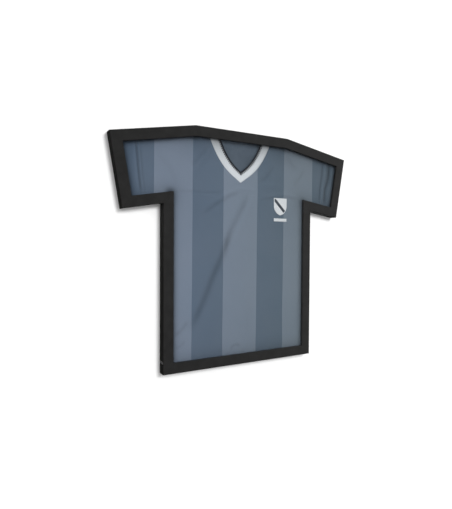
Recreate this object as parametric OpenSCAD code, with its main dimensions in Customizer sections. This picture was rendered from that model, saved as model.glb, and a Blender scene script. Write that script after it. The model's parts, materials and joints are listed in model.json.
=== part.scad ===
// Jersey display frame: a shirt-shaped frame of ten mitred rails with clear glazing, a jersey on a flat
// form, and a backing panel held by turn buttons. X runs to the right as seen from the front, the front
// faces -Y, the wall side lies in the plane y = 0, and +Z is up. The origin is midway between the two
// hangers, on the line that they hang from.

/* [Outline] */
// Width across the cuffs
cuff_span = 736.6; // [700:0.1:780]
// Height from the bottom edge to the top edge
frame_h = 635; // [600:0.5:680]
// Depth from the front face to the wall
frame_d = 25.4; // [25.4:0.1:30]
// Width across the body, below the sleeves
body_w = 468; // [440:1:500]
// Length of the level top edge
top_w = 292; // [270:1:310]
// Drop from the top edge to the shoulder's outer corner
shoulder_drop = 40.3; // [25:0.1:60]
// Drop from the top edge to the cuff's lower corner
cuff_drop = 221.5; // [200:0.5:240]
// Drop from the top edge to the armpit corner
armpit_drop = 204.5; // [185:0.5:220]
// How far the cuff's lower corner sits in from its upper one
cuff_slant = 30.8; // [15:0.1:45]

/* [Rail section] */
// Width of a rail's front face
rail_w = 27.4; // [26:0.1:32]
// Thickness of the front lip, in front of the glazing
lip_t = 6.4; // [5:0.1:6.4]
// Distance from a rail's outer face to the wall of its rebate
rebate_u = 21; // [20:0.1:22]
// Width of the rear leg that stands against the wall
leg_w = 8; // [6:0.1:8]
// Depth of the rear ledge, measured from the front face
ledge_v = 19.6; // [19.6:0.1:20.4]
// Chamfer on the front edges
chamfer = 0.8; // [0.2:0.1:1.5]

/* [Panels] */
// Thickness of the glazing
glazing_t = 1.6; // [1:0.1:1.6]
// Thickness of the board inside the jersey
form_t = 3.5; // [2:0.1:3.5]
// Thickness of the backing panel
backing_t = 3; // [2:0.1:3]
// Gap round the edge of the glazing and the backing panel
panel_gap = 0.6; // [0.3:0.1:1]

/* [Jersey] */
// Thickness of the jersey's front with its folds
front_sheet_t = 2; // [1:0.1:2]
// Thickness of the jersey's back with its folds
back_sheet_t = 1; // [0.6:0.1:1]
// Sideways offset of the jersey's centre line from the frame's
jersey_x = -5; // [-8:0.5:8]
// Half width of the neck, where band and trim meet, at the level of the frame's inner edge
neck_half_w = 67.5; // [58:0.5:76]
// Drop from the frame's top edge to the point of the V where the band and the trim meet
neck_drop = 112; // [92:1:118]
// Width of the white collar band
band_w = 23; // [14:0.5:28]
// Width of the ribbed trim inside the collar band
trim_w = 5; // [4:0.5:10]
// Width of the chest badge
badge_w = 45.5; // [35:0.5:55]
// Height of the chest badge
badge_h = 49.5; // [35:0.5:55]

/* [Turn buttons] */
// Width of a button, and the diameter of its round ends
button_w = 10; // [8:0.5:10]
// Distance from a button's pivot to the centre of its nose
button_reach = 15; // [12:0.5:16]
// Thickness of a button
button_t = 1.2; // [1:0.1:1.5]
// Radius of a pivot screw's shank
screw_r = 1.6; // [1.3:0.05:1.8]

/* [Hangers] */
// Length of a sawtooth hanger
hanger_l = 45; // [40:1:50]
// Distance of each hanger's middle from the frame's centre line
hanger_x = 98; // [92:1:104]
// Drop from the frame's top edge to the line that the hangers hang from
hang_drop = 18; // [17.5:0.1:19]

/* [Hidden] */
rail_names = ["left_shoulder_rail", "top_rail", "right_shoulder_rail", "right_cuff_rail",
    "right_underarm_rail", "right_side_rail", "bottom_rail", "left_side_rail",
    "left_underarm_rail", "left_cuff_rail"];
// Each turn button: its name, its rail, and where it sits along the rail from 0 to 1
buttons = [
    ["turn_button_top_left", 1, 0.36], ["turn_button_top_right", 1, 0.64],
    ["turn_button_left_shoulder", 0, 0.45], ["turn_button_right_shoulder", 2, 0.55],
    ["turn_button_left_cuff", 9, 0.5], ["turn_button_right_cuff", 3, 0.5],
    ["turn_button_left_side_upper", 7, 0.75], ["turn_button_right_side_upper", 5, 0.25],
    ["turn_button_left_side_lower", 7, 0.28], ["turn_button_right_side_lower", 5, 0.72],
    ["turn_button_bottom_left", 6, 0.74], ["turn_button_bottom_right", 6, 0.26]];
$fn = 48;

// Depths are measured back from the front face
glazing_v = lip_t;
jersey_v = glazing_v + glazing_t + 1.2;
form_v = jersey_v + front_sheet_t + 0.2;
back_sheet_v = form_v + form_t + 0.2;
backing_v = back_sheet_v + back_sheet_t + 0.2;
jersey_back_v = back_sheet_v + back_sheet_t;
seat = 0.1; // clearance above and below a turning button
button_v = ledge_v + seat;
head_v = button_v + button_t + seat;
fit = 0.05; // radial clearance of a screw in its hole

hang_h = frame_h - hang_drop;
half = cuff_span / 2;
shoulder_z = frame_h - shoulder_drop;
cuff_z = frame_h - cuff_drop;
armpit_z = frame_h - armpit_drop;
// Corners of the outline, clockwise as seen from the front, with heights above the bottom edge
outline = [[-half, shoulder_z], [-top_w / 2, frame_h], [top_w / 2, frame_h], [half, shoulder_z],
    [half - cuff_slant, cuff_z], [body_w / 2, armpit_z], [body_w / 2, 0],
    [-body_w / 2, 0], [-body_w / 2, armpit_z], [cuff_slant - half, cuff_z]];
corners = [for (p = outline) [p[0], p[1] - hang_h]];
n_rails = len(corners);
cut = 1; // how far a cutter runs past what it cuts

jersey_edge = rebate_u + 1.2;
jersey_wall = 0.8;
pivot_u = (leg_w + rebate_u) / 2;
screw_l = 11;
head_r = 3.2;
head_t = 1.8;
hanger_w = 10;
hanger_t = 1;
hanger_lift = 1.8;
tooth_h = 1.5;
tooth_pitch = 2.5;
hanger_z = hanger_w / 2 - tooth_h; // a hanger's middle, above the roots of its notches
hanger_screw_r = 1.2;
hanger_screw_l = 7;
hanger_screw_points = [for (side = [-1, 1], end = [-1, 1])
    [side * hanger_x + end * (hanger_l / 2 - 5), hanger_z]];
v_nail_leg = 6.5;
v_nail_t = 0.7;
v_nail_depth = 7;
badge_x = 135; // from the jersey's centre line to the badge's middle
badge_z = 438.5; // above the bottom edge
badge_t = 0.4;
collar_t = 0.6;
plate_size = [0.4, 20, 6];
plate_h = 29.5;

function unit(v) = v / norm(v);
function edge_dir(i) = unit(corners[(i + 1) % n_rails] - corners[i]);
function inward(d) = [d[1], -d[0]];
// The corner i of the outline moved inwards by dist
function inset_corner(i, dist) = let (a = inward(edge_dir((i + n_rails - 1) % n_rails)),
    b = inward(edge_dir(i))) corners[i] + dist * (a + b) / (1 + a * b);
function inset(dist) = [for (i = [0 : n_rails - 1]) inset_corner(i, dist)];
// A point on rail i, at a share of its length and a distance in from its outer face
function on_rail(i, share, u) = let (a = corners[i], b = corners[(i + 1) % n_rails])
    a + share * (b - a) + u * inward(edge_dir(i));
function turn_of(i) = atan2(edge_dir(i)[0], edge_dir(i)[1]);
// The strip beside edge i between two distances in from it, mitred at both ends
function edge_strip(i, d0, d1) = let (j = (i + 1) % n_rails)
    [inset_corner(i, d0), inset_corner(j, d0), inset_corner(j, d1), inset_corner(i, d1)];

// The line where the collar band and its trim meet: a V whose sides steepen upwards, moved outwards by off
neck_z = hang_drop - neck_drop;
neck_rise = neck_drop - rail_w;
tip_slope = 0.58;
// The strips beside the line are narrower at the tip than further up
function widened(s, off) = off * (0.88 + 0.2 * s);
function neck_point(s, off) = let (
    slope = [neck_half_w, neck_rise * (tip_slope + 3 * (1 - tip_slope) * pow(s, 2))],
    base = [neck_half_w * s, neck_z + neck_rise * (tip_slope * s + (1 - tip_slope) * pow(s, 3))])
    base + widened(s, off) * unit([slope[1], -slope[0]]);
function neck_tip(off) =
    [0, neck_z - widened(0, off) * norm([neck_half_w, neck_rise * tip_slope]) / neck_half_w];
function neck_side(off) = [for (s = [0.15 : 0.12 : 1.12]) neck_point(s, off)];
function neck(off) = let (side = neck_side(off), n = len(side))
    [for (p = concat([for (i = [n - 1 : -1 : 0]) [-side[i][0], side[i][1]]], [neck_tip(off)], side))
        [p[0] + jersey_x, p[1]]];

// A flat shape seen from the front, made solid between two depths
module plate(v0, v1) {
    translate([0, v1 - frame_d, 0]) rotate([90, 0, 0]) linear_extrude(v1 - v0) children();
}

// Children stand on rail i with +X inwards, +Z along the rail and y = 0 at the depth v
module at_rail(i, share, u, v) {
    p = on_rail(i, share, u);
    translate([p[0], v - frame_d, p[1]]) rotate([0, turn_of(i), 0]) children();
}

rail_profile = [[chamfer, 0], [rail_w - chamfer, 0], [rail_w, chamfer], [rail_w, lip_t],
    [rebate_u, lip_t], [rebate_u, ledge_v], [leg_w, ledge_v], [leg_w, frame_d], [0, frame_d], [0, chamfer]];

// A rail, mitred at both ends, with pilot holes for its turn buttons
module rail(i) {
    overrun = 2 * rail_w;
    length = norm(corners[(i + 1) % n_rails] - corners[i]);
    color("#28292a") difference() {
        intersection() {
            at_rail(i, 0, 0, 0) translate([0, 0, -overrun])
                linear_extrude(length + 2 * overrun) polygon(rail_profile);
            plate(-cut, frame_d + cut) polygon(edge_strip(i, -cut, rail_w + cut));
        }
        for (b = buttons) if (b[1] == i)
            at_rail(i, b[2], pivot_u, ledge_v + cut) rotate([90, 0, 0])
                cylinder(r = screw_r + fit, h = screw_l + cut);
        if (rail_names[i] == "top_rail") for (p = hanger_screw_points)
            translate([p[0], ledge_v + cut - frame_d, p[1]]) rotate([90, 0, 0])
                cylinder(r = hanger_screw_r + fit, h = hanger_screw_l + cut);
    }
}

// A turn button: a strip with round ends, pivoted at one end, with a raised rib to push it by
module turn_button(b) {
    r = button_w / 2;
    color("silver") at_rail(b[1], b[2], pivot_u, button_v + button_t) rotate([90, 0, 0]) difference() {
        union() {
            linear_extrude(button_t) union() {
                circle(r);
                translate([0, -r]) square([button_reach, button_w]);
                translate([button_reach, 0]) circle(r);
            }
            translate([button_reach - 2, -r + 1.5, -1]) cube([1.6, button_w - 3, 1 + button_t / 2]);
        }
        translate([0, 0, -cut]) cylinder(r = screw_r + fit, h = button_t + 2 * cut);
    }
}

// A pan-head screw with a cross recess, whose head rests at y = 0 and faces +Y
module screw(shank_r, shank_l, cap_r, cap_t) {
    tip = 2 * shank_r;
    slot = [cap_r * 1.1, cap_r * 0.28, cap_t * 0.6];
    rotate([-90, 0, 0]) difference() {
        union() {
            translate([0, 0, tip - shank_l]) cylinder(r = shank_r, h = shank_l - tip + cap_t / 2);
            translate([0, 0, -shank_l]) cylinder(r1 = 0.3, r2 = shank_r, h = tip);
            cylinder(r1 = cap_r, r2 = cap_r * 0.72, h = cap_t);
        }
        for (a = [0, 90]) rotate([0, 0, a]) translate([-slot[0] / 2, -slot[1] / 2, cap_t - slot[2]])
            cube([slot[0], slot[1], slot[2] + cut]);
    }
}

// A V-shaped nail across each mitre, driven in flush with the rear ledge
module corner_v_nails() {
    color("gray") for (i = [0 : n_rails - 1]) {
        p = inset_corner(i, pivot_u);
        m = unit(p - corners[i]);
        plate(ledge_v - v_nail_depth, ledge_v) translate(p) rotate(atan2(m[1], m[0]))
            translate([-v_nail_leg / 3, 0]) for (side = [-1, 1])
                rotate(side * 38) translate([0, -v_nail_t / 2]) square([v_nail_leg, v_nail_t]);
    }
}

// The clear glazing, behind the lip
module glazing() {
    color("white", 0.2) plate(glazing_v, glazing_v + glazing_t) polygon(inset(rebate_u + panel_gap));
}

// The jersey's body: front and back sheets joined round the form, open at the neck, the cuffs and the hem
module jersey_body() {
    front_v = jersey_v + front_sheet_t;
    color("#5e6e7c") difference() {
        plate(jersey_v, jersey_back_v) polygon(inset(jersey_edge));
        plate(front_v, back_sheet_v) polygon(inset(jersey_edge + jersey_wall));
        plate(jersey_v - cut, back_sheet_v) polygon(neck(-trim_w));
        for (name = ["left_cuff_rail", "right_cuff_rail", "bottom_rail"])
            plate(front_v, back_sheet_v)
                polygon(edge_strip(search([name], rail_names)[0], jersey_edge - cut, jersey_edge + 2));
    }
}

// The strip along the neck between two distances from that line, inside the jersey's outline
module neck_band(off0, off1, v0, v1) {
    plate(v0, v1) intersection() {
        difference() {
            polygon(neck(off1));
            polygon(neck(off0));
        }
        polygon(inset(jersey_edge));
    }
}

// The white collar band
module jersey_collar() {
    color("#c3cbd2") neck_band(0, band_w, jersey_v - collar_t, jersey_v);
}

// The ribbed trim inside the collar band
module jersey_collar_trim() {
    color("#3a444e") neck_band(-trim_w, 0, jersey_v - collar_t, jersey_v);
}

// The chest badge: a pointed shield with a plain bar under it
module jersey_badge() {
    point_h = badge_h * 0.55;
    side_r = (pow(badge_w / 2, 2) + pow(point_h, 2)) / badge_w;
    bar_h = 9;
    color("gainsboro") plate(jersey_v - badge_t, jersey_v)
        translate([jersey_x + badge_x - badge_w / 2, badge_z - hang_h - badge_h / 2]) {
            translate([0, point_h]) square([badge_w, badge_h - point_h]);
            intersection() {
                translate([side_r, point_h]) circle(side_r);
                translate([badge_w - side_r, point_h]) circle(side_r);
                square([badge_w, point_h + cut]);
            }
            translate([0, -2 * bar_h]) square([badge_w, bar_h]);
        }
}

// The board inside the jersey, notched at the neck
module shirt_form() {
    color("white") plate(form_v, form_v + form_t) difference() {
        polygon(inset(jersey_edge + jersey_wall + 0.4));
        polygon(neck(band_w));
    }
}

// The panel that closes the frame from behind
module backing_panel() {
    color("#8a6a4a") plate(backing_v, backing_v + backing_t) polygon(inset(rebate_u + panel_gap));
}

// The screws that the turn buttons pivot on
module pivot_screws() {
    color("silver") for (b = buttons) at_rail(b[1], b[2], pivot_u, head_v)
        screw(screw_r, screw_l + head_v - ledge_v - cut, head_r, head_t);
}

// A sawtooth hanger: a strip with screwed-down ends and a raised middle, with seven notches along its
// lower edge, the middle one on the hanger's centre
module hanger(side) {
    end = hanger_l / 2;
    foot = 10;
    ramp = 2;
    color("silver") translate([side * hanger_x, ledge_v - frame_d, hanger_z]) difference() {
        translate([0, 0, -hanger_w / 2]) linear_extrude(hanger_w) polygon([
            [-end, 0], [foot - end, 0], [foot + ramp - end, hanger_lift], [end - foot - ramp, hanger_lift],
            [end - foot, 0], [end, 0], [end, hanger_t], [end - foot, hanger_t],
            [end - foot - ramp, hanger_lift + hanger_t], [foot + ramp - end, hanger_lift + hanger_t],
            [foot - end, hanger_t], [-end, hanger_t]]);
        for (x = [-3 : 3]) translate([x * tooth_pitch, hanger_lift + hanger_t + cut, -hanger_w / 2])
            rotate([90, 0, 0]) linear_extrude(hanger_t + 2 * cut)
                polygon([[-tooth_pitch / 2, 0], [0, tooth_h], [tooth_pitch / 2, 0], [0, -cut]]);
        for (x = [5 - end, end - 5]) translate([x, hanger_t + cut, 0]) rotate([90, 0, 0])
            cylinder(r = hanger_screw_r + fit, h = hanger_t + 2 * cut);
    }
}

module left_hanger() hanger(-1);
module right_hanger() hanger(1);

// The screws that hold the hangers
module hanger_screws() {
    color("silver") for (p = hanger_screw_points)
        translate([p[0], ledge_v + hanger_t - frame_d, p[1]])
            screw(hanger_screw_r, hanger_screw_l + hanger_t - cut / 2, 2.2, 1.2);
}

// The small blank plate low on the left side
module nameplate() {
    color("silver") translate([-body_w / 2 - plate_size[0], -frame_d / 2 - plate_size[1] / 2,
        plate_h - hang_h - plate_size[2] / 2]) cube(plate_size);
}

for (i = [0 : n_rails - 1]) rail(i);
for (b = buttons) turn_button(b);
corner_v_nails();
glazing();
jersey_body();
jersey_collar();
jersey_collar_trim();
jersey_badge();
shirt_form();
backing_panel();
pivot_screws();
left_hanger();
right_hanger();
hanger_screws();
nameplate();
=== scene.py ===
from collections import Counter
import json
import math

import bmesh
import bpy
import numpy as np
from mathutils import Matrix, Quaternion, Vector, geometry, noise


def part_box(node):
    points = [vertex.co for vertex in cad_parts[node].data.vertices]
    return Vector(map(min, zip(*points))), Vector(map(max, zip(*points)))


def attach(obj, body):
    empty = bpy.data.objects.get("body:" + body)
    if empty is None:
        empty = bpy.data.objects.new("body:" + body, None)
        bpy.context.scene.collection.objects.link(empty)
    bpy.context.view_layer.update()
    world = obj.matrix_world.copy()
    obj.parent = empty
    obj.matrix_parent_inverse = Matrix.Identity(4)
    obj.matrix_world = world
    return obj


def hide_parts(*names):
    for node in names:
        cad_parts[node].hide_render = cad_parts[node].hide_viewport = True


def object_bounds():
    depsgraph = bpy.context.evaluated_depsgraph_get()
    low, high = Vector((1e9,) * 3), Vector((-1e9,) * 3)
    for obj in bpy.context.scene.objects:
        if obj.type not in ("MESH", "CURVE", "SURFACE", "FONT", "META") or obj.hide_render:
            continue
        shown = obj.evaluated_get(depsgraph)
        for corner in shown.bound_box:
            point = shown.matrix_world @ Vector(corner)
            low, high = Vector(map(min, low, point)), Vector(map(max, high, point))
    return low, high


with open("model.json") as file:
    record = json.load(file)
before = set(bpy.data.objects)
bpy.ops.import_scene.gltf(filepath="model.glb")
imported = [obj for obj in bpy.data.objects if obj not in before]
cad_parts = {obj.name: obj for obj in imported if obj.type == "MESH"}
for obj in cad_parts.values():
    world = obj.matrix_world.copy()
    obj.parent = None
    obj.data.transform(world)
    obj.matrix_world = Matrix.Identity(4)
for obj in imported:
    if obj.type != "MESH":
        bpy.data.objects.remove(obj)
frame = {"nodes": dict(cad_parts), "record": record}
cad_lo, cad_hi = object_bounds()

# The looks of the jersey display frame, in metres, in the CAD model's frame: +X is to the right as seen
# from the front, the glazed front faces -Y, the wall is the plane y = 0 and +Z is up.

MM = 0.001
BODY = "frame"
nodes = frame["nodes"]
hem_z = cad_lo.z
frame_middle = (cad_lo + cad_hi) / 2
SHIRT_X = -5 * MM  # the jersey's centre line


# ---------------------------------------------------------------- outlines and lines, as (x, z) arrays

def front_loops(node):
    """The outlines of a flat CAD node's front face, the longest first."""
    mesh = nodes[node].data
    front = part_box(node)[0].y
    places = [(round(v.co.x, 6), round(v.co.z, 6)) for v in mesh.vertices]
    edges = set()
    for face in mesh.polygons:
        corners = [places[i] for i in face.vertices]
        flat = all(abs(mesh.vertices[i].co.y - front) < 0.01 * MM for i in face.vertices)
        if flat and len(set(corners)) == len(corners):
            edges.update(zip(corners, corners[1:] + corners[:1]))
    following = {a: b for a, b in edges if (b, a) not in edges}
    loops = []
    while following:
        start, point = following.popitem()
        loop = [start]
        while point != start:
            loop.append(point)
            point = following.pop(point)
        loops.append(np.array(loop))
    return sorted(loops, key=lambda loop: -len(loop))


def from_hem(points):
    """Points given in millimetres from the frame's centre line and above its bottom edge, in metres."""
    return np.array([(x * MM, hem_z + z * MM) for x, z in points])


def smooth_line(points, steps=10):
    """A Catmull-Rom curve through the points."""
    p = np.vstack([2 * points[0] - points[1], points, 2 * points[-1] - points[-2]])
    t = np.linspace(0, 1, steps, endpoint=False)[:, None]
    spans = [0.5 * (2 * b + (c - a) * t
                    + (2 * a - 5 * b + 4 * c - d) * t ** 2
                    + (3 * b - a - 3 * c + d) * t ** 3)
             for a, b, c, d in zip(p, p[1:], p[2:], p[3:])]
    return np.vstack(spans + [points[-1:]])


def evenly(line, count):
    """count points evenly spaced along a line."""
    gone = np.concatenate([[0], np.cumsum(np.linalg.norm(np.diff(line, axis=0), axis=1))])
    want = np.linspace(0, gone[-1], count)
    return np.stack([np.interp(want, gone, line[:, i]) for i in range(line.shape[1])], 1)


def length_of(line):
    return float(np.linalg.norm(np.diff(line, axis=0), axis=1).sum())


def beside(points, line):
    """How far each point lies to the left of a line, negative to its right, and how far along it, 0 to 1."""
    gone = np.concatenate([[0], np.cumsum(np.linalg.norm(np.diff(line, axis=0), axis=1))])
    best = np.full(len(points), np.inf)
    signed, share = np.zeros(len(points)), np.zeros(len(points))
    for a, b, before in zip(line, line[1:], gone):
        d = b - a
        span = np.linalg.norm(d)
        t = np.clip((points - a) @ d / span ** 2, 0, 1)
        off = points - a - t[:, None] * d
        far = np.linalg.norm(off, axis=1)
        nearer = far < best
        side = np.sign(d[0] * off[:, 1] - d[1] * off[:, 0])
        best = np.where(nearer, far, best)
        signed = np.where(nearer, side * far, signed)
        share = np.where(nearer, (before + t * span) / gone[-1], share)
    return signed, share


def ease(t):
    t = np.clip(t, 0, 1)
    return t * t * (3 - 2 * t)


def inside(points, loop):
    """Whether each point lies inside a closed outline."""
    hit = np.zeros(len(points), bool)
    for (x0, z0), (x1, z1) in zip(loop, np.roll(loop, -1, axis=0)):
        if z0 != z1:
            crosses = (z0 > points[:, 1]) != (z1 > points[:, 1])
            hit ^= crosses & (points[:, 0] < (x1 - x0) * (points[:, 1] - z0) / (z1 - z0) + x0)
    return hit


# ---------------------------------------------------------------- the cloth's folds

# Each fold: its line, how wide its left and right flanks are and how high it stands, in millimetres, and how
# much shade is painted on the cloth in it, a negative amount being a painted highlight
FOLDS = [
    # the long crease from the collar down to the left side
    ([(26, 478), (0, 427), (-18, 397), (-40, 357), (-60, 301)], 10, 9, -0.7, 0.14),
    ([(-28, 382), (-40, 352), (-60, 301), (-90, 242), (-115, 184), (-143, 128), (-163, 93)],
     10, 9, -0.8, 0.25),
    ([(50, 500), (24, 440), (6, 401), (-14, 359), (-36, 302)], 9, 12, 0.6, -0.02),
    # the fold across the chest
    ([(-130, 402), (-112, 414), (-88, 430), (-62, 445), (-34, 462), (0, 470)], 5, 6, -0.7, 0.10),
    ([(-128, 418), (-98, 436), (-62, 458), (-20, 478), (30, 482), (66, 470)], 7, 8, 0.7, 0.0),
    ([(-212, 463), (-160, 465), (-110, 466), (-58, 470)], 3, 4, -0.4, 0.06),
    ([(48, 446), (80, 458), (140, 467), (206, 462)], 4, 5, -0.5, 0.08),
    ([(48, 455), (80, 466), (140, 475), (206, 470)], 4, 5, 0.5, -0.03),
    # the soft folds between the collar and the shoulders
    ([(-84, 606), (-100, 575), (-124, 545), (-150, 520)], 6, 9, 0.7, 0.0),
    ([(-96, 606), (-112, 575), (-134, 550), (-160, 528)], 6, 6, -0.5, 0.07),
    ([(60, 500), (76, 516), (92, 532), (110, 556)], 8, 6, -0.6, 0.09),
    ([(40, 486), (60, 492), (100, 498), (140, 494)], 7, 6, 0.7, 0.0),
    ([(150, 590), (170, 566), (196, 548)], 6, 10, -0.5, 0.06),
    ([(-250, 560), (-215, 520), (-196, 478)], 10, 7, 0.6, 0.04),
    ([(216, 560), (196, 528), (176, 500)], 7, 12, 0.7, 0.05),
    # small wrinkles near the hem
    ([(-206, 96), (-190, 100), (-176, 112), (-160, 132)], 5, 6, -0.6, 0.12),
    ([(-200, 62), (-184, 66), (-170, 80)], 4, 5, -0.5, 0.10),
    ([(-38, 38), (-28, 48), (-14, 52), (0, 44)], 4, 5, -0.6, 0.12),
    ([(150, 40), (120, 66), (60, 58)], 8, 8, 0.5, 0.0),
    ([(10, 250), (14, 160), (6, 60)], 12, 16, 0.5, 0.0),
    ([(-198, 420), (-192, 300), (-197, 190)], 10, 8, 0.3, 0.0),
    # the gathers at the right cuff and the flatter ones at the left cuff
    ([(300, 592), (299, 545), (293, 512), (287, 445)], 5, 6, 1.3, -0.10),
    ([(290, 592), (285, 535), (280, 503), (275, 445)], 3.5, 3, -0.8, 0.30),
    ([(316, 592), (313, 545), (307, 520), (298, 493), (297, 440)], 5.5, 5, -0.8, 0.34),
    ([(332, 592), (326, 535), (320, 500), (312, 440)], 5, 9, 1.7, -0.10),
    # no fold here, only a broad painted shade over the right cuff
    ([(322, 592), (318, 545), (312, 500), (304, 440)], 24, 24, 0.0, 0.16),
    ([(-309, 590), (-304, 545), (-300, 500), (-293, 446)], 4, 3, 0.7, -0.08),
    ([(-303, 590), (-298, 545), (-294, 500), (-287, 446)], 3, 3, -0.7, 0.36),
    ([(-297, 590), (-292, 545), (-288, 500), (-281, 446)], 3, 3, 0.5, -0.06),
    ([(-292, 580), (-288, 545), (-284, 500), (-277, 446)], 3, 3, -0.4, 0.12),
    ([(-330, 560), (-322, 510), (-312, 450)], 7, 8, -0.6, 0.08),
]
FOLD_END = 0.22  # the share of a fold's length over which each of its ends fades away
WAVES = [(55, 0.35), (21, 0.12)]  # length and height in millimetres of the cloth's slight unevenness
DEEPEST, HIGHEST = -0.8 * MM, 1.9 * MM  # how far the cloth may lie behind its sheet or stand out from it
# The cloth's painted shade and painted highlight are kept within these factors of its colour
DARKEST, LIGHTEST = 0.3, 1.2  # how much the cloth may be dimmed or brightened

# How much shade is painted on the cloth beside each side of the frame's lip, and over how many millimetres
LIP_PAINTED_SHADE = {
    "left": ((0.36, 14), (0.60, 12)),
    "right": ((0.32, 12),),
    "top": ((0.62, 12.5), (0.15, 50)),
    "bottom": ((0.18, 26), (0.08, 110)),
}

form_lo, form_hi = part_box("shirt_form")
CLOTH_T = 0.5 * MM
sheet_y = form_lo.y - 0.9 * MM  # the front sheet's outer surface, where it has no fold


def in_folds(points):
    """For each fold, how much each point lies in it, from 0 to 1, and the fold's height and painted shade.
    """
    for line, left, right, rise, dark in FOLDS:
        off, share = beside(points, smooth_line(from_hem(line)))
        flank = np.where(off > 0, left, right) * MM
        fade = ease(share / FOLD_END) * ease((1 - share) / FOLD_END)
        yield fade * np.exp(-(off / flank) ** 2), rise, dark


def fold_height(points):
    """How far the cloth's front stands out towards the viewer, in metres."""
    noise_slice, z_scale = 3.1, 0.6  # the waves are longer upwards than across
    height = sum(rise * MM * amount for amount, rise, _ in in_folds(points))
    for length, rise in WAVES:
        wave = length * MM
        height += [rise * MM * noise.noise(Vector((x / wave, noise_slice, z / wave * z_scale)))
                   for x, z in points]
    return np.clip(height, DEEPEST, HIGHEST)


def lip_side(a, b):
    """Which side of the window the edge from a to b is on, as the outlines run anticlockwise."""
    if abs(b[0] - a[0]) > abs(b[1] - a[1]):
        return "top" if b[0] < a[0] else "bottom"
    return "left" if a[0] < 0 else "right"


def painted_cloth_shade(points, outline):
    """The shade painted on the cloth in its folds and beside the frame's lip, as a factor of its colour,
    where 1 is its own colour.
    """
    light = 1 - sum(dark * amount for amount, _, dark in in_folds(points))
    corners = np.vstack([outline, outline[:1]])
    for a, b in zip(corners, corners[1:]):
        off, _ = beside(points, np.array([a, b]))
        for deep, wide in LIP_PAINTED_SHADE[lip_side(a, b)]:
            light *= 1 - deep * np.exp(-(off / (wide * MM)) ** 2)
    return np.clip(light, DARKEST, LIGHTEST)


def shirt_front(points):
    """The y of the cloth's outer surface at each point of the front."""
    return sheet_y - fold_height(points)


# ---------------------------------------------------------------- mesh builders

def add_mesh(name, verts, faces, material):
    mesh = bpy.data.meshes.new(name)
    mesh.from_pydata([tuple(v) for v in verts], [], [tuple(f) for f in faces])
    mesh.update()
    mesh.materials.append(material)
    mesh.shade_smooth()
    piece = bpy.data.objects.new(name, mesh)
    bpy.context.scene.collection.objects.link(piece)
    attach(piece, BODY)
    return piece


def filled(loop, pitch):
    """An even net of triangles that fills an outline: its (x, z) points and its faces."""
    corners = np.vstack([loop, loop[:1]])
    edges = [corners[i:i + 2] for i in range(len(loop))]
    counts = [max(2, int(np.ceil(length_of(edge) / pitch)) + 1) for edge in edges]
    rim = np.vstack([evenly(edge, count)[:-1] for edge, count in zip(edges, counts)])
    lo, hi = loop.min(0), loop.max(0)
    rows = np.arange(lo[1], hi[1], pitch * math.sqrt(3) / 2)
    net = np.array([(x, z) for i, z in enumerate(rows)
                    for x in np.arange(lo[0] + (i % 2) * pitch / 2, hi[0], pitch)])
    net = net[inside(net, loop)]
    off, _ = beside(net, corners)
    net = net[np.abs(off) > pitch * 0.5]
    points = [Vector(p) for p in np.vstack([rim, net])]
    only_inside, tolerance = 1, 1e-7
    outline = list(range(len(rim)))
    verts, _, faces, *_ = geometry.delaunay_2d_cdt(points, [], [outline], only_inside, tolerance)
    return np.array([tuple(v) for v in verts]), [list(reversed(f)) if turned(f, verts) else f for f in faces]


def turned(face, verts):
    """Whether a face would look away from the front."""
    a, b, c = (verts[i] for i in face[:3])
    return (b - a).cross(c - a) < 0


def set_painted_shade(piece, values):
    """Gives a piece's mesh the attribute that holds its painted shade, by which its material is dimmed."""
    piece.data.attributes.new("shade", "FLOAT", "POINT").data.foreach_set("value", values)


def solidify(piece, thickness, offset=-1):
    skin = piece.modifiers.new("thickness", "SOLIDIFY")
    skin.thickness = thickness
    skin.offset = offset


def tubes(name, runs, radius, material, sides=6):
    """Threads: a tube with round ends along each run of (x, y, z) points."""
    end_girth, end_power = 0.35, 8  # the ends' share of the full radius, and how late the tube narrows
    verts, faces = [], []
    turn = np.linspace(0, 2 * math.pi, sides, endpoint=False)
    for run in runs:
        run = np.asarray(run, float)
        way = np.gradient(run, axis=0)
        way /= np.linalg.norm(way, axis=1)[:, None]
        across = np.cross(way, (0, 1, 0))
        across /= np.linalg.norm(across, axis=1)[:, None]
        up = np.cross(way, across)
        first = len(verts)
        share = np.linspace(0, 1, len(run))
        girth = radius * np.clip(np.sqrt(1 - (2 * share - 1) ** end_power), end_girth, 1)
        for p, a, u, r in zip(run, across, up, girth):
            verts += [p + r * (a * math.cos(t) + u * math.sin(t)) for t in turn]
        for k in range(len(run) - 1):
            ring = first + k * sides
            faces += [(ring + i, ring + (i + 1) % sides, ring + sides + (i + 1) % sides, ring + sides + i)
                      for i in range(sides)]
        faces.append([first + i for i in reversed(range(sides))])
        faces.append([first + (len(run) - 1) * sides + i for i in range(sides)])
    return add_mesh(name, verts, faces, material)


# ---------------------------------------------------------------- materials

def join(tree, value, socket):
    """Gives a socket its value, or links it to the output that the value comes from."""
    if isinstance(value, bpy.types.NodeSocket):
        tree.links.new(value, socket)
    else:
        socket.default_value = value


def add_node(tree, kind, **inputs):
    """Adds a node, with its inputs given by name."""
    node = tree.nodes.new(kind)
    for name, value in inputs.items():
        join(tree, value, node.inputs[name.replace("_", " ")])
    return node


def add_math(tree, operation, a, b=0.0):
    node = add_node(tree, "ShaderNodeMath")
    node.operation = operation
    join(tree, a, node.inputs[0])
    join(tree, b, node.inputs[1])
    return node.outputs[0]


def mix_shaders(tree, share, first, second):
    mix = tree.nodes.new("ShaderNodeMixShader")
    for value, socket in zip((share, first, second), mix.inputs):
        join(tree, value, socket)
    return mix.outputs[0]


def bare_material(name):
    """A material whose nodes are still to be made."""
    material = bpy.data.materials.new(name)
    material.use_nodes = True
    material.node_tree.nodes.clear()
    return material


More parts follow.
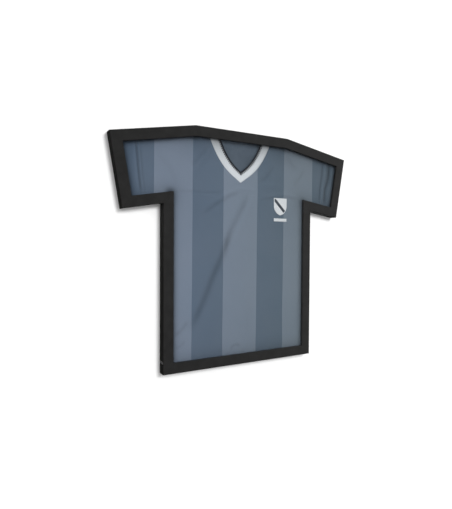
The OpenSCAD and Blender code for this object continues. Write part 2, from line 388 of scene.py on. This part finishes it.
class Shader:
    """A material's node tree round a Principled shader, with short ways to add and join its nodes."""

    def __init__(self, name, base, rough, metallic=0.0, specular=0.5, sheen=0.0):
        self.material = bpy.data.materials.new(name)
        self.material.use_nodes = True
        self.tree = self.material.node_tree
        self.bsdf = self.tree.nodes["Principled BSDF"]
        self.set("Base Color", (*base, 1))
        self.set("Roughness", rough)
        self.set("Metallic", metallic)
        self.set("Specular IOR Level", specular)
        self.set("Sheen Weight", sheen)
        self.place = self.add("ShaderNodeTexCoord").outputs["Object"]
        self.x, self.y, self.z = self.add("ShaderNodeSeparateXYZ", Vector=self.place).outputs

    def set(self, socket, value):
        """Gives one of the shader's own inputs a value, or links it."""
        join(self.tree, value, self.bsdf.inputs[socket])

    def add(self, kind, **inputs):
        return add_node(self.tree, kind, **inputs)

    def math(self, operation, a, b=0.0):
        return add_math(self.tree, operation, a, b)

    def noise(self, scale, detail=4.0, rough=0.6, stretch=(1, 1, 1), seed=0.0):
        place = self.add("ShaderNodeMapping", Vector=self.place, Scale=stretch, Location=(seed, seed, seed))
        return self.add("ShaderNodeTexNoise", Vector=place.outputs[0], Scale=scale, Detail=detail,
                        Roughness=rough).outputs["Fac"]

    def span(self, value, low, high, new_low, new_high):
        """Maps a value between low and high to one between new_low and new_high."""
        return self.add("ShaderNodeMapRange", Value=value, From_Min=low, From_Max=high, To_Min=new_low,
                        To_Max=new_high).outputs["Result"]

    def mix(self, share, a, b, blend="MIX"):
        """Mixes two colours, each a tuple or an output."""
        node = self.add("ShaderNodeMix")
        node.data_type = "RGBA"
        node.blend_type = blend
        join(self.tree, share, node.inputs["Factor"])
        colours = [socket for socket in node.inputs if socket.type == "RGBA"]
        for value, socket in zip((a, b), colours):
            join(self.tree, value if isinstance(value, bpy.types.NodeSocket) else (*value, 1), socket)
        return next(socket for socket in node.outputs if socket.type == "RGBA")

    def with_painted_shade(self, colour):
        """The colour times the mesh's shade attribute, which holds painted shade."""
        dim = self.add("ShaderNodeAttribute")
        dim.attribute_name = "shade"
        return self.mix(1.0, colour, dim.outputs["Color"], "MULTIPLY")

    def tint(self, colour):
        self.set("Base Color", colour)

    def roughen(self, value):
        self.set("Roughness", value)

    def bump(self, height, distance, strength=1.0):
        """Adds relief on top of the relief that is there."""
        node = self.add("ShaderNodeBump", Height=height, Distance=distance, Strength=strength)
        earlier = self.bsdf.inputs["Normal"].links
        if earlier:
            join(self.tree, earlier[0].from_socket, node.inputs["Normal"])
        self.set("Normal", node.outputs[0])


def shade(colour, factor):
    """The colour, darker or lighter by a factor."""
    return tuple(c * factor for c in colour)


def black_lacquer():
    """Satin black lacquer on a wooden moulding: faint orange peel, rubbed a little lighter in places."""
    base = (0.0170, 0.0169, 0.0168)
    s = Shader("black_lacquer", base, 0.42, specular=0.42)
    cloudy = s.noise(38, detail=5)
    s.tint(s.mix(s.span(cloudy, 0.35, 0.7, 0.0, 1.0), shade(base, 0.86), shade(base, 1.22)))
    s.roughen(s.span(s.noise(160, detail=3, seed=3), 0.3, 0.7, 0.37, 0.47))
    s.bump(s.noise(1500, detail=2, seed=5), 0.02 * MM, 0.5)
    s.bump(s.noise(24, detail=2, seed=9), 0.1 * MM, 0.25)
    return s.material


def clear_acrylic():
    """A clear sheet: light goes straight through, and only a little is reflected where it enters."""
    material = bare_material("clear_acrylic")
    tree = material.node_tree
    clear = add_node(tree, "ShaderNodeBsdfTransparent", Color=(0.985, 0.99, 0.992, 1))
    gloss = add_node(tree, "ShaderNodeBsdfGlossy", Roughness=0.06, Color=(0.15, 0.15, 0.15, 1))
    mirrored = add_node(tree, "ShaderNodeFresnel", IOR=1.45).outputs[0]
    behind = add_node(tree, "ShaderNodeNewGeometry").outputs["Backfacing"]
    share = add_math(tree, "MULTIPLY", mirrored, add_math(tree, "SUBTRACT", 1.0, behind))
    surface = mix_shaders(tree, share, clear.outputs[0], gloss.outputs[0])
    add_node(tree, "ShaderNodeOutputMaterial", Surface=surface)
    return material


STRIPE_LIGHT = (0.222, 0.268, 0.345)
STRIPE_DARK = (0.120, 0.163, 0.227)
STRIPE_EDGES = (54 * MM, 146 * MM, 252 * MM)  # where the colour changes, each side of the centre line
CUFF_DARK = (0.066, 0.104, 0.166)
CUFF_FADE = (285 * MM, 312 * MM)  # from where to where, left of the frame's middle, the left cuff darkens
# Painted shade: the cloth is painted a little darker and yellower towards the right
RIGHT_SHADE_SPAN = (-150 * MM, 190 * MM)  # from where to where the cloth turns slightly yellower


def knit(s, pitch=2.8 * MM):
    """A fine mesh knit: rows of small dimples, each row shifted by half a stitch. Returns the dimples."""
    turn = 2 * math.pi / pitch
    across = s.math("SINE", s.math("MULTIPLY", s.x, turn))
    along = s.math("SINE", s.math("MULTIPLY", s.z, turn * 0.55))
    dimples = s.math("MULTIPLY", across, along)
    s.bump(dimples, 0.15 * MM, 0.9)
    s.bump(s.noise(900, detail=3, stretch=(1, 1, 2.5)), 0.06 * MM, 0.6)
    return dimples


def jersey_knit():
    """Striped polyester mesh knit, whose stripes sway and lean a little; the left cuff is darker."""
    s = Shader("jersey_knit", STRIPE_DARK, 0.78, specular=0.25, sheen=0.12)
    dimples = knit(s)
    sway = s.math("MULTIPLY", s.math("SUBTRACT", s.noise(6, detail=1), 0.5), 4 * MM)
    lean = s.math("MULTIPLY", s.math("SUBTRACT", s.z, hem_z + 300 * MM), 0.006)
    off = s.math("ABSOLUTE", s.math("SUBTRACT", s.math("ADD", s.x, sway), s.math("ADD", lean, SHIRT_X)))
    blur = 0.4 * MM
    dark = None
    for edge, sign in zip(STRIPE_EDGES, (1, -1, 1)):
        step = s.span(off, edge - blur, edge + blur, 0.0, float(sign))
        dark = step if dark is None else s.math("ADD", dark, step)
    colour = s.mix(dark, STRIPE_LIGHT, STRIPE_DARK)
    cuff = s.span(s.math("MULTIPLY", s.x, -1.0), *CUFF_FADE, 0.0, 0.55)
    colour = s.mix(cuff, colour, CUFF_DARK)
    cloudy = s.span(s.noise(9, detail=4, rough=0.55, seed=2), 0.3, 0.7, 0.0, 1.0)
    colour = s.mix(0.16, colour, s.mix(cloudy, (0.10, 0.15, 0.21), (0.18, 0.21, 0.265)))
    # painted shade, darker and yellower towards the right
    painted_right_shade = s.span(s.x, *RIGHT_SHADE_SPAN, 0.0, 1.0)
    colour = s.mix(painted_right_shade, colour, (0.95, 0.95, 0.87), "MULTIPLY")
    flecks = s.span(dimples, 0.0, 1.0, 0.0, 0.3)
    colour = s.mix(flecks, colour, shade(STRIPE_DARK, 0.4))
    # the cloth's colour is dimmed by the painted shade held in its mesh
    s.tint(s.with_painted_shade(colour))
    s.roughen(s.span(s.noise(700, detail=2), 0.3, 0.7, 0.7, 0.88))
    return s.material


def jersey_inside():
    """The plain inner side of the jersey's back."""
    base = (0.092, 0.1165, 0.1485)
    s = Shader("jersey_inside", base, 0.85, specular=0.2, sheen=0.1)
    dimples = knit(s, pitch=1.5 * MM)
    cloudy = s.span(s.noise(22, detail=4, seed=4), 0.3, 0.7, 0.0, 1.0)
    colour = s.mix(cloudy, shade(base, 0.82), shade(base, 1.2))
    s.tint(s.mix(s.span(dimples, -1.0, 1.0, 0.0, 0.2), colour, shade(base, 0.5)))
    return s.material


def ribbed(name, base):
    """Ribbed knit for the collar: the ribs are in the mesh, so the shader adds the yarn and the painted
    shade held in the mesh.
    """
    s = Shader(name, base, 0.82, specular=0.2, sheen=0.15)
    yarn = s.noise(1400, detail=3)
    soft = s.noise(30, detail=3, seed=6)
    colour = s.mix(s.span(yarn, 0.35, 0.7, 0.0, 1.0), shade(base, 0.82), shade(base, 1.08))
    s.tint(s.with_painted_shade(s.mix(s.span(soft, 0.3, 0.7, 0.0, 0.3), colour, shade(base, 0.85))))
    s.bump(yarn, 0.12 * MM, 0.7)
    return s.material


def satin_thread(name, base, lean=0.0):
    """Embroidery: close parallel threads, with a painted sheen that runs across them: each thread is painted
    lighter on its crown and darker in the grooves beside it.
    """
    pitch = 0.42 * MM
    s = Shader(name, base, 0.45, specular=0.45, sheen=0.2)
    run = s.math("ADD", s.x, s.math("MULTIPLY", s.z, lean))
    threads = s.math("SINE", s.math("MULTIPLY", run, 2 * math.pi / pitch))
    uneven = s.noise(420, detail=3)
    # painted highlight on each thread's crown and painted shade in the grooves between threads
    colour = s.mix(s.span(threads, -1.0, 1.0, 0.0, 1.0), shade(base, 0.8), shade(base, 1.08))
    s.tint(s.mix(s.span(uneven, 0.3, 0.7, 0.0, 0.5), colour, shade(base, 0.85)))
    s.bump(threads, 0.1 * MM, 0.8)
    return s.material


def form_board():
    """White foam board with a paper face."""
    base = (0.78, 0.78, 0.76)
    s = Shader("form_board", base, 0.7, specular=0.3)
    s.tint(s.mix(s.span(s.noise(60, detail=5), 0.3, 0.7, 0.0, 1.0), shade(base, 0.93), base))
    s.bump(s.noise(1100, detail=4), 0.05 * MM, 0.6)
    return s.material


def hardboard():
    """Brown hardboard: pressed fibres, some dark, some pale, and a few longer strands."""
    base = (0.205, 0.118, 0.062)
    s = Shader("hardboard", base, 0.62, specular=0.3)
    fibres = s.noise(260, detail=8, rough=0.75, stretch=(1, 1, 2.2))
    strands = s.noise(90, detail=3, rough=0.5, stretch=(6, 1, 1), seed=11)
    clouds = s.noise(7, detail=4, seed=2)
    colour = s.mix(s.span(fibres, 0.32, 0.68, 0.0, 1.0), shade(base, 0.55), shade(base, 1.5))
    colour = s.mix(s.span(strands, 0.6, 0.75, 0.0, 0.5), colour, (0.34, 0.22, 0.13))
    s.tint(s.mix(s.span(clouds, 0.3, 0.7, 0.0, 0.35), colour, shade(base, 0.6)))
    s.roughen(s.span(fibres, 0.3, 0.7, 0.5, 0.75))
    s.bump(fibres, 0.12 * MM, 0.6)
    return s.material


def metal(name, base, rough, grain=(1, 1, 12), spots=0.0):
    """Plated sheet metal with fine rolling marks and, with spots, a little dulling."""
    s = Shader(name, base, rough, metallic=1.0)
    marks = s.noise(420, detail=4, stretch=grain)
    dull = s.noise(130, detail=5, rough=0.7, seed=8)
    colour = s.mix(s.span(marks, 0.3, 0.7, 0.0, 1.0), shade(base, 0.86), shade(base, 1.06))
    s.tint(s.mix(s.span(dull, 0.5, 0.72, 0.0, spots), colour, shade(base, 0.55)))
    s.roughen(s.span(dull, 0.3, 0.7, rough - 0.08, rough + 0.14))
    s.bump(marks, 0.02 * MM, 0.5)
    return s.material


materials = {
    "black_lacquer": black_lacquer(),
    "clear_acrylic": clear_acrylic(),
    "jersey_knit": jersey_knit(),
    "jersey_inside": jersey_inside(),
    "collar_white": ribbed("collar_white", (0.81, 0.845, 0.88)),
    "collar_trim": ribbed("collar_trim", (0.021, 0.024, 0.031)),
    "badge_thread": satin_thread("badge_thread", (0.86, 0.885, 0.91), lean=0.5),
    "badge_dark": satin_thread("badge_dark", (0.055, 0.068, 0.088), lean=-0.7),
    "thread_dark": satin_thread("thread_dark", (0.03, 0.034, 0.042)),
    "thread_grey": satin_thread("thread_grey", (0.12, 0.13, 0.15)),
    "form_board": form_board(),
    "hardboard": hardboard(),
    "zinc_steel": metal("zinc_steel", (0.62, 0.63, 0.66), 0.34, spots=0.5),
    "nail_steel": metal("nail_steel", (0.42, 0.42, 0.43), 0.45, spots=0.8),
    "screw_steel": metal("screw_steel", (0.70, 0.69, 0.66), 0.26, grain=(1, 1, 1), spots=0.3),
    "hanger_brass": metal("hanger_brass", (0.66, 0.5, 0.24), 0.32, grain=(8, 1, 1), spots=0.4),
    "plate_aluminium": metal("plate_aluminium", (0.85, 0.86, 0.87), 0.5, grain=(1, 6, 1)),
}


# ---------------------------------------------------------------- the CAD pieces

def dress(node, material, edge):
    """Gives a CAD node its material and small worn edges of that width."""
    obj = nodes[node]
    if obj.material_slots:
        for place in obj.material_slots:
            place.material = material
    else:
        obj.data.materials.append(material)
    if edge:
        weld = obj.modifiers.new("weld", "WELD")
        weld.merge_threshold = 0.002 * MM
        bevel = obj.modifiers.new("edges", "BEVEL")
        bevel.width = edge
        bevel.segments = 2
        bevel.limit_method = "ANGLE"
        bevel.angle_limit = math.radians(28)
        bevel.use_clamp_overlap = True
        normals = obj.modifiers.new("normals", "WEIGHTED_NORMAL")
        normals.keep_sharp = True


slots = {part["node"]: part["material_slot"] for part in frame["record"]["subparts"]}

# How wide the worn edges are, for each material that has them
EDGES = {
    "black_lacquer": 0.35 * MM,
    "zinc_steel": 0.12 * MM,
    "hanger_brass": 0.1 * MM,
    "hardboard": 0.2 * MM,
    "plate_aluminium": 0.06 * MM,
    "form_board": 0.15 * MM,
}
for node, slot in slots.items():
    dress(node, materials[slot], EDGES.get(slot, 0))


# ---------------------------------------------------------------- the jersey

def sheet(name, loop, pitch, depth, material, bulge_towards):
    """A sheet of cloth over an outline, whose outer surface lies at depth(points)."""
    points, faces = filled(loop, pitch)
    piece = add_mesh(name, np.column_stack([points[:, 0], depth(points), points[:, 1]]), faces, material)
    uses = Counter(key for face in piece.data.polygons for key in face.edge_keys)
    for edge in piece.data.edges:
        edge.use_edge_sharp = uses[edge.key] == 1
    solidify(piece, CLOTH_T, bulge_towards)
    return piece


def outside(loop):
    """A shirt's outline without its neckline, whose corners are near the centre line and high up."""
    near, high = 100 * MM, hem_z + 300 * MM
    return np.array([p for p in loop if abs(p[0] - SHIRT_X) > near or p[1] < high])


front_loop = front_loops("jersey_body")[0]
jersey_front = sheet("jersey_front", front_loop, 2.8 * MM, shirt_front, materials["jersey_knit"], -1)
places = np.array([(v.co.x, v.co.z) for v in jersey_front.data.vertices])
# The front's painted shade, in its folds and beside the frame's lip, kept in a mesh attribute
set_painted_shade(jersey_front, painted_cloth_shade(places, outside(front_loop)))


def shirt_back(points):
    """The y of the back sheet's inner surface, which hangs loose where the form is notched."""
    rise, wide, tall, noise_slice = 0.35 * MM, 30 * MM, 50 * MM, 7.7
    waves = [rise * noise.noise(Vector((x / wide, noise_slice, z / tall))) for x, z in points]
    return np.full(len(points), form_hi.y + 0.45 * MM) + waves


jersey_back = sheet("jersey_back", outside(front_loop), 6 * MM, shirt_back, materials["jersey_inside"], 1)

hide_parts("jersey_body")
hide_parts("jersey_body")


# ---------------------------------------------------------------- the collar

def strip_sides(loop):
    """A V-shaped strip's edges: for each side, its outer and its inner line, both from the tip upwards."""
    tip = int(np.argmin(loop[:, 1]))
    loop = np.roll(loop, -tip, axis=0)
    top = loop[:, 1].max() - 0.01 * MM
    ends = [i for i, p in enumerate(loop) if p[1] > top]
    between_ends = range(min(ends) + 1, max(ends))
    middle = min(between_ends, key=lambda i: abs(loop[i, 0] - loop[0, 0]))
    first, last = [i for i in ends if i < middle], [i for i in ends if i > middle]
    closed = np.vstack([loop, loop[:1]])
    return [(loop[:first[0] + 1], loop[first[-1]:middle + 1][::-1]),
            (closed[last[-1]:][::-1], loop[middle:last[0] + 1])]


def band_faces(first, rows, columns):
    """The faces of a closed band whose front and back are nets of rows and columns of points."""
    size = rows * columns
    faces = []
    for i in range(rows - 1):
        for j in range(columns - 1):
            k = first + i * columns + j
            faces.append((k, k + 1, k + columns + 1, k + columns))
            faces.append((k + size, k + size + columns, k + size + columns + 1, k + size + 1))
    ends = [(row * columns + j, 1) for j in range(columns - 1) for row in (0, rows - 1)]
    sides = [(i * columns + column, columns) for i in range(rows - 1) for column in (0, columns - 1)]
    for start, step in ends + sides:
        k = first + start
        faces.append((k, k + step, k + size + step, k + size))
    return faces


def ribbed_strip(name, node, thickness, rib, relief, deep, slot):
    """A ribbed band that lies on the cloth, its ribs running across it, with shade painted on it: deep under
    the top rail, slight along its inner edge.
    """
    across, per_rib = 12, 5  # how many points lie across the band, and along it for each rib
    # The painted shade: darker towards the top rail, fading over top_shade, and a little darker along the
    # inner edge
    top_shade, inner_shade_depth, inner_shade_width = 35 * MM, 0.06, 0.4
    tuck = 0.1 * MM  # how far its back lies inside the cloth
    top = front_loop[:, 1].max()
    share = np.linspace(0, 1, across)
    crown = np.sqrt(1 - np.abs(2 * share - 1) ** 5)
    verts, faces, painted_dims = [], [], []
    for outer, inner in strip_sides(front_loops(node)[0]):
        count = int(length_of(outer) / rib * per_rib)
        a, b = evenly(smooth_line(outer, 6), count), evenly(smooth_line(inner, 6), count)
        ridge = relief * (0.5 + 0.5 * np.cos(np.arange(count) * 2 * math.pi / per_rib))
        flat = (a[:, None] * (1 - share)[None, :, None] + b[:, None] * share[None, :, None]).reshape(-1, 2)
        rise = (thickness * crown[None] + ridge[:, None] * crown[None]).ravel()
        near_top = np.exp(-(top - flat[:, 1]) / top_shade)
        inner_shade_mask = np.tile(np.exp(-(((1 - share) / inner_shade_width) ** 2)), count)
        faces += band_faces(len(verts), count, across)
        for y in (shirt_front(flat) - rise, shirt_front(flat) + tuck):
            verts += [(p[0], depth, p[1]) for p, depth in zip(flat, y)]
            painted_dims += list((1 - deep * near_top) * (1 - inner_shade_depth * inner_shade_mask))
    piece = add_mesh(name, verts, faces, materials[slot])
    set_painted_shade(piece, painted_dims)
    fix_normals(piece)
    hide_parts(node)
    return piece


def fix_normals(piece):
    """Turns a closed mesh's faces outwards."""
    mesh = bmesh.new()
    mesh.from_mesh(piece.data)
    bmesh.ops.recalc_face_normals(mesh, faces=mesh.faces)
    mesh.to_mesh(piece.data)
    mesh.free()


# each band's painted shade under the top rail: deep on the white collar, slight on the dark trim
collar = ribbed_strip("collar_band", "jersey_collar", 0.75 * MM, 1.7 * MM, 0.16 * MM, 0.75, "collar_white")
trim = ribbed_strip("collar_trim", "jersey_collar_trim", 0.6 * MM, 1.4 * MM, 0.18 * MM, 0.2, "collar_trim")


def over_cloth(lines, rise):
    """Runs of (x, y, z) points for lines of (x, z) points that lie that far in front of the cloth."""
    flat = np.vstack(lines)
    y = shirt_front(flat) - np.tile(rise, len(lines))
    return np.split(np.column_stack([flat[:, 0], y, flat[:, 1]]), len(lines))


def ladder():
    """Overlock stitches over the collar band's inner edge: groups of three threads with a gap between."""
    start, reach, pitch, radius = 0.8 * MM, 4.8 * MM, 1.04 * MM, 0.55 * MM
    lift, arch = 0.85 * MM, 0.15 * MM
    group = 5  # places for threads in a group, of which the middle three are filled
    steps = 5  # points to a thread
    lines = []
    for outer, inner in strip_sides(front_loops("jersey_collar")[0]):
        count = int(length_of(inner) / pitch)
        a, b = evenly(smooth_line(inner, 6), count), evenly(smooth_line(outer, 6), count)
        way = (b - a) / np.linalg.norm(b - a, axis=1)[:, None]
        threads = [evenly(np.array(ends), steps) for ends in zip(a - start * way, a + reach * way)]
        lines += [thread for k, thread in enumerate(threads) if 0 < k % group < group - 1]
    rise = lift + arch * np.sin(np.linspace(0, math.pi, steps))
    runs = over_cloth(lines, rise)
    return tubes("collar_stitches", runs, radius, materials["thread_dark"])


collar_stitches = ladder()


# ---------------------------------------------------------------- the badge

def badge():
    """An embroidered shield with a raised rim and a dark bend across it, over a plain stitched bar."""
    rim, bend = 2.2 * MM, 4.2 * MM  # the rim's width, and half of the bend's
    lift, rim_lift, bend_lift = 0.55 * MM, 0.3 * MM, 0.25 * MM
    across_bend = np.array([0.707, 0.707])
    made = []
    for name, loop in zip(("badge_shield", "badge_bar"), front_loops("jersey_badge")):
        points, faces = filled(loop, 0.7 * MM)
        off = np.abs(beside(points, np.vstack([loop, loop[:1]]))[0])
        middle = (loop.min(0) + loop.max(0)) / 2
        slant = np.abs((points - middle) @ across_bend)
        height = lift * ease(off / (0.5 * MM))
        height += rim_lift * ease((rim - off) / (0.6 * MM)) * ease(off / (0.4 * MM))
        if name == "badge_shield":
            height += bend_lift * ease((bend - slant) / (0.5 * MM)) * ease((off - rim) / (0.5 * MM))
        y = shirt_front(points) - height
        piece = add_mesh(name, np.column_stack([points[:, 0], y, points[:, 1]]), faces,
                         materials["badge_thread"])
        if name == "badge_shield":
            piece.data.materials.append(materials["badge_dark"])
            for face in piece.data.polygons:
                corners = list(face.vertices)
                spot = points[corners].mean(0)
                in_bend = abs((spot - middle) @ across_bend) < bend
                face.material_index = int(in_bend and off[corners].mean() > rim)
        solidify(piece, 0.4 * MM)
        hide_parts("jersey_badge")
        made.append(piece)
    return made


badge_pieces = badge()


# ---------------------------------------------------------------- hems and stitching

def stitch_row(line, pitch=3.2 * MM):
    """A row of lock stitches along a line, each with a gap after it."""
    stitch_share, steps = 0.72, 4
    starts = evenly(line, int(length_of(line) / pitch))
    return [evenly(np.array([a, a + stitch_share * (b - a)]), steps) for a, b in zip(starts, starts[1:])]


# Two stitched lines at each cuff, in millimetres from the frame's centre line and above its bottom edge
CUFF_HEMS = [
    [(-301, 584), (-297, 540), (-293, 500), (-286, 446)],
    [(-294, 585), (-290, 540), (-286, 500), (-279, 447)],
    [(309, 582), (302, 540), (296, 500), (287, 446)],
    [(302, 583), (295, 540), (289, 500), (280, 447)],
]
cuff_rows = [stitch for hem in CUFF_HEMS for stitch in stitch_row(smooth_line(from_hem(hem)))]
stitch_rise = 0.22 * MM * np.array([0.1, 1, 1, 0.1])  # each stitch's ends dive to the cloth
cuff_runs = over_cloth(cuff_rows, stitch_rise)
cuff_stitches = tubes("cuff_stitches", cuff_runs, 0.2 * MM, materials["thread_grey"])


# ---------------------------------------------------------------- stage, light and camera

def plane(name, centre, right, up, material):
    """A stage rectangle, given by its centre and half of each side."""
    centre, right, up = Vector(centre), Vector(right), Vector(up)
    corners = [centre + a * right + b * up for a, b in ((-1, -1), (1, -1), (1, 1), (-1, 1))]
    mesh = bpy.data.meshes.new(name)
    mesh.from_pydata(corners, [], [(0, 1, 2, 3)])
    mesh.materials.append(material)
    obj = bpy.data.objects.new(name, mesh)
    bpy.context.scene.collection.objects.link(obj)
    return obj


def wall_paint():
    """White paint that shows from the front only, so that the frame's back can be looked at."""
    material = bare_material("wall_paint")
    tree = material.node_tree
    behind = add_node(tree, "ShaderNodeNewGeometry").outputs["Backfacing"]
    paint = add_node(tree, "ShaderNodeBsdfDiffuse", Color=(0.95, 0.95, 0.95, 1))
    clear = add_node(tree, "ShaderNodeBsdfTransparent")
    surface = mix_shaders(tree, behind, paint.outputs[0], clear.outputs[0])
    add_node(tree, "ShaderNodeOutputMaterial", Surface=surface)
    return material


# The wall, in metres, just behind the plane that the frame's rear legs stand against
wall = plane("wall", (0, 0.4 * MM, -0.3), (4, 0, 0), (0, 0, 4), wall_paint())
wall.visible_shadow = wall.visible_diffuse = wall.visible_glossy = False


def area_light(name, place, size, power, glossy=True):
    """A square softbox that faces the frame's middle; place, from there, and size in metres, power in W."""
    lamp = bpy.data.lights.new(name, "AREA")
    lamp.size = size
    lamp.energy = power
    obj = bpy.data.objects.new(name, lamp)
    obj.location = frame_middle + Vector(place)
    obj.rotation_mode = "QUATERNION"
    obj.rotation_quaternion = (-Vector(place)).to_track_quat("-Z", "Y")
    obj.visible_glossy = glossy
    bpy.context.scene.collection.objects.link(obj)
    return obj


def lights_up(lamp, obj, state):
    """Makes a lamp light only an object, with "INCLUDE", or all but that object, with "EXCLUDE"."""
    group = bpy.data.collections.new(lamp.name + "_lights")
    group.objects.link(obj)
    group.collection_objects[0].light_linking.link_state = state
    lamp.light_linking.receiver_collection = group


# The frame is lit from the upper left; the shadow it throws on the wall falls to its lower left
lights_up(area_light("key", (-2.4, -4.2, 1.9), 2.6, 135, glossy=False), wall, "EXCLUDE")
lights_up(area_light("wall_key", (1.35, -6.0, 2.4), 2.2, 290, glossy=False), wall, "INCLUDE")
area_light("back_fill", (1.3, 2.8, 1.4), 4.5, 100)


def background(tree, strength, fades=()):
    """White light; each fade is an axis, where it starts and ends, and by how much it multiplies there."""
    where = add_node(tree, "ShaderNodeTexCoord").outputs["Generated"]
    split = add_node(tree, "ShaderNodeSeparateXYZ", Vector=where)
    for axis, start, end, at_start, at_end in reversed(fades):
        fade = add_node(tree, "ShaderNodeMapRange", Value=split.outputs[axis], From_Min=start, From_Max=end,
                        To_Min=at_start, To_Max=at_end)
        strength = add_math(tree, "MULTIPLY", fade.outputs["Result"], strength)
    return add_node(tree, "ShaderNodeBackground", Color=(1, 1, 1, 1), Strength=strength).outputs[0]


def world_light():
    """A dome, dim behind and below; a darker room to be mirrored, brighter on the right; white beyond."""
    world = bpy.data.worlds.new("studio")
    bpy.context.scene.world = world
    world.use_nodes = True
    tree = world.node_tree
    tree.nodes.clear()
    rays = add_node(tree, "ShaderNodeLightPath").outputs
    behind, below = ("Y", -0.2, 0.4, 1.0, 0.1), ("Z", -0.7, -0.1, 0.3, 1.0)
    right = ("X", 0.3, 0.8, 1.0, 8.0)
    dome = background(tree, 0.78, (behind, below))
    room = background(tree, 0.075, (behind, below, right))
    light = mix_shaders(tree, rays["Is Glossy Ray"], dome, room)
    light = mix_shaders(tree, rays["Is Camera Ray"], light, background(tree, 1.0))
    add_node(tree, "ShaderNodeOutputWorld", Surface=light)


world_light()

CAMERA_FROM_MIDDLE = (-0.6347, -1.0427, 0.0148)  # metres from the frame's middle
CAMERA_YAW, CAMERA_PITCH, CAMERA_ROLL = (math.radians(turn) for turn in (29.33, -1.474, 0.304))
CAMERA_LENS = 31.124  # millimetres
camera_data = bpy.data.cameras.new("camera")
camera_data.lens = CAMERA_LENS
camera = bpy.data.objects.new("camera", camera_data)
bpy.context.scene.collection.objects.link(camera)
camera.location = frame_middle + Vector(CAMERA_FROM_MIDDLE)
ahead = Vector((math.sin(CAMERA_YAW) * math.cos(CAMERA_PITCH), math.cos(CAMERA_YAW) * math.cos(CAMERA_PITCH),
                math.sin(CAMERA_PITCH)))
camera.rotation_mode = "QUATERNION"
camera.rotation_quaternion = Quaternion(ahead, -CAMERA_ROLL) @ ahead.to_track_quat("-Z", "Y")
bpy.context.scene.camera = camera
bpy.context.scene.view_settings.view_transform = "Standard"
